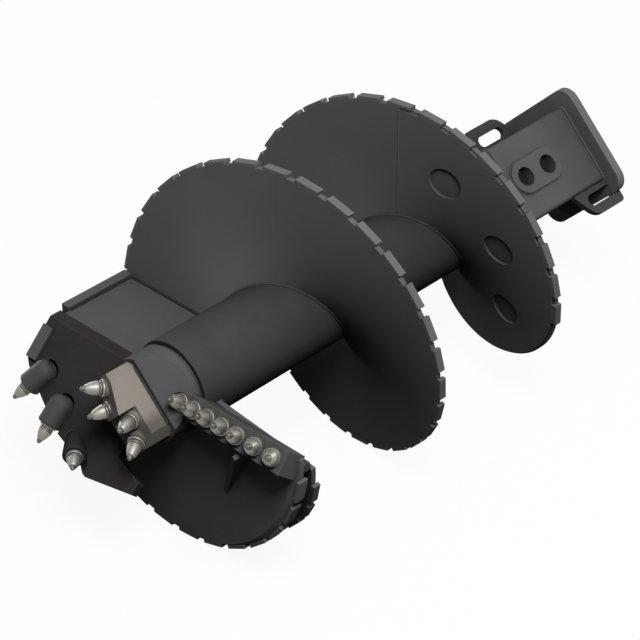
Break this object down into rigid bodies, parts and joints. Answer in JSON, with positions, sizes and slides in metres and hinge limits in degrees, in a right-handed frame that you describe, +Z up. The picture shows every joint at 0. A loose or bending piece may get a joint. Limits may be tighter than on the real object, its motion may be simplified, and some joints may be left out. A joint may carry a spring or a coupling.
{
  "type": "rock auger",
  "caption": "Rotary rock auger with a helical flight on a core tube, pick-armed cutters, a pilot and a square kelly socket for a drill rig.",
  "frame": {"origin": "on the ground under the middle of the parked tool's length", "axes": "+Y along the tool axis to the kelly end, +Z up with the tool lying on its wear blocks, +X to the bar cutter's side"},
  "size_m": [1.0024, 1.9924, 1],
  "materials": {
    "dark_paint": "satin charcoal paint, worn at the edges",
    "wear_steel": "charcoal paint, scuffed on the outer faces",
    "sleeve_steel": "near-black semi-gloss paint",
    "pilot_steel": "warm grey primer",
    "pick_steel": "bare turned steel with a dark hard tip"
  },
  "bodies": {
    "auger": {"bar_cutter": "dark_paint", "core_tube": "dark_paint", "base_plate": "dark_paint", "base_wear_blocks": "wear_steel", "bar_gusset": "dark_paint", "flight_lead": "dark_paint", "flight_lower": "dark_paint", "flight_upper": "dark_paint", "flight_doubler": "dark_paint", "wear_blocks_lead": "wear_steel", "wear_blocks_lower": "wear_steel", "wear_blocks_upper": "wear_steel", "lead_web": "dark_paint", "plate_carrier": "dark_paint", "carrier_edge_bar": "wear_steel", "sleeve_outer": "sleeve_steel", "sleeve_middle": "sleeve_steel", "sleeve_inner": "sleeve_steel", "plate_side_strip": "wear_steel", "pilot_block": "pilot_steel", "pilot_stub": "dark_paint", "cutter_plate": "dark_paint", "kelly_wall_front": "dark_paint", "kelly_wall_rear": "dark_paint", "kelly_wall_right": "dark_paint", "kelly_wall_left": "dark_paint", "kelly_seat": "dark_paint", "pin_pad_front": "dark_paint", "pin_pad_rear": "dark_paint", "kelly_flange": "dark_paint", "lifting_ear_near": "dark_paint", "lifting_ear_far": "dark_paint"},
    "bar_pick_1": {"bar_pick_1": "pick_steel"},
    "bar_pick_2": {"bar_pick_2": "pick_steel"},
    "bar_pick_3": {"bar_pick_3": "pick_steel"},
    "bar_pick_4": {"bar_pick_4": "pick_steel"},
    "bar_pick_5": {"bar_pick_5": "pick_steel"},
    "bar_pick_6": {"bar_pick_6": "pick_steel"},
    "bar_pick_7": {"bar_pick_7": "pick_steel"},
    "plate_pick_outer": {"plate_pick_outer": "pick_steel"},
    "plate_pick_middle": {"plate_pick_middle": "pick_steel"},
    "plate_pick_inner": {"plate_pick_inner": "pick_steel"},
    "pilot_pick_1": {"pilot_pick_1": "pick_steel"},
    "pilot_pick_2": {"pilot_pick_2": "pick_steel"},
    "pilot_pick_3": {"pilot_pick_3": "pick_steel"},
    "pilot_pick_4": {"pilot_pick_4": "pick_steel"}
  },
  "joints": [
    {"name": "bar_pick_1_spin", "type": "hinge", "parent": "auger", "child": "bar_pick_1", "pos_m": [0.103, -0.78552, 0.527], "axis": [0.1219, -0.7603, 0.638], "continuous": true},
    {"name": "bar_pick_2_spin", "type": "hinge", "parent": "auger", "child": "bar_pick_2", "pos_m": [0.152, -0.78552, 0.527], "axis": [0.1564, -0.7566, 0.6349], "continuous": true},
    {"name": "bar_pick_3_spin", "type": "hinge", "parent": "auger", "child": "bar_pick_3", "pos_m": [0.203, -0.78552, 0.527], "axis": [0.2079, -0.7493, 0.6287], "continuous": true},
    {"name": "bar_pick_4_spin", "type": "hinge", "parent": "auger", "child": "bar_pick_4", "pos_m": [0.257, -0.78552, 0.527], "axis": [0.2756, -0.7364, 0.6179], "continuous": true},
    {"name": "bar_pick_5_spin", "type": "hinge", "parent": "auger", "child": "bar_pick_5", "pos_m": [0.313, -0.78552, 0.527], "axis": [0.342, -0.7198, 0.604], "continuous": true},
    {"name": "bar_pick_6_spin", "type": "hinge", "parent": "auger", "child": "bar_pick_6", "pos_m": [0.378, -0.78552, 0.527], "axis": [0.4067, -0.6998, 0.5872], "continuous": true},
    {"name": "bar_pick_7_spin", "type": "hinge", "parent": "auger", "child": "bar_pick_7", "pos_m": [0.444, -0.78552, 0.527], "axis": [0.4695, -0.6764, 0.5675], "continuous": true},
    {"name": "plate_pick_outer_spin", "type": "hinge", "parent": "auger", "child": "plate_pick_outer", "pos_m": [-0.4203, -0.87577, 0.37131], "axis": [-0.4384, -0.6355, -0.6355], "continuous": true},
    {"name": "plate_pick_middle_spin", "type": "hinge", "parent": "auger", "child": "plate_pick_middle", "pos_m": [-0.29, -0.91961, 0.32747], "axis": [-0.0523, -0.7061, -0.7061], "continuous": true},
    {"name": "plate_pick_inner_spin", "type": "hinge", "parent": "auger", "child": "plate_pick_inner", "pos_m": [-0.1615, -0.94436, 0.29706], "axis": [0.6683, -0.7439, 0.0055], "continuous": true},
    {"name": "pilot_pick_1_spin", "type": "hinge", "parent": "auger", "child": "pilot_pick_1", "pos_m": [-0.0601, -0.91079, 0.55869], "axis": [-0.4825, -0.8603, 0.1644], "continuous": true},
    {"name": "pilot_pick_2_spin", "type": "hinge", "parent": "auger", "child": "pilot_pick_2", "pos_m": [-0.03889, -0.91079, 0.49929], "axis": [-0.3572, -0.9254, -0.1265], "continuous": true},
    {"name": "pilot_pick_3_spin", "type": "hinge", "parent": "auger", "child": "pilot_pick_3", "pos_m": [0.03889, -0.91079, 0.50071], "axis": [0.3572, -0.9254, 0.1265], "continuous": true},
    {"name": "pilot_pick_4_spin", "type": "hinge", "parent": "auger", "child": "pilot_pick_4", "pos_m": [0.0601, -0.91079, 0.44131], "axis": [0.4825, -0.8603, -0.1644], "continuous": true}
  ]
}
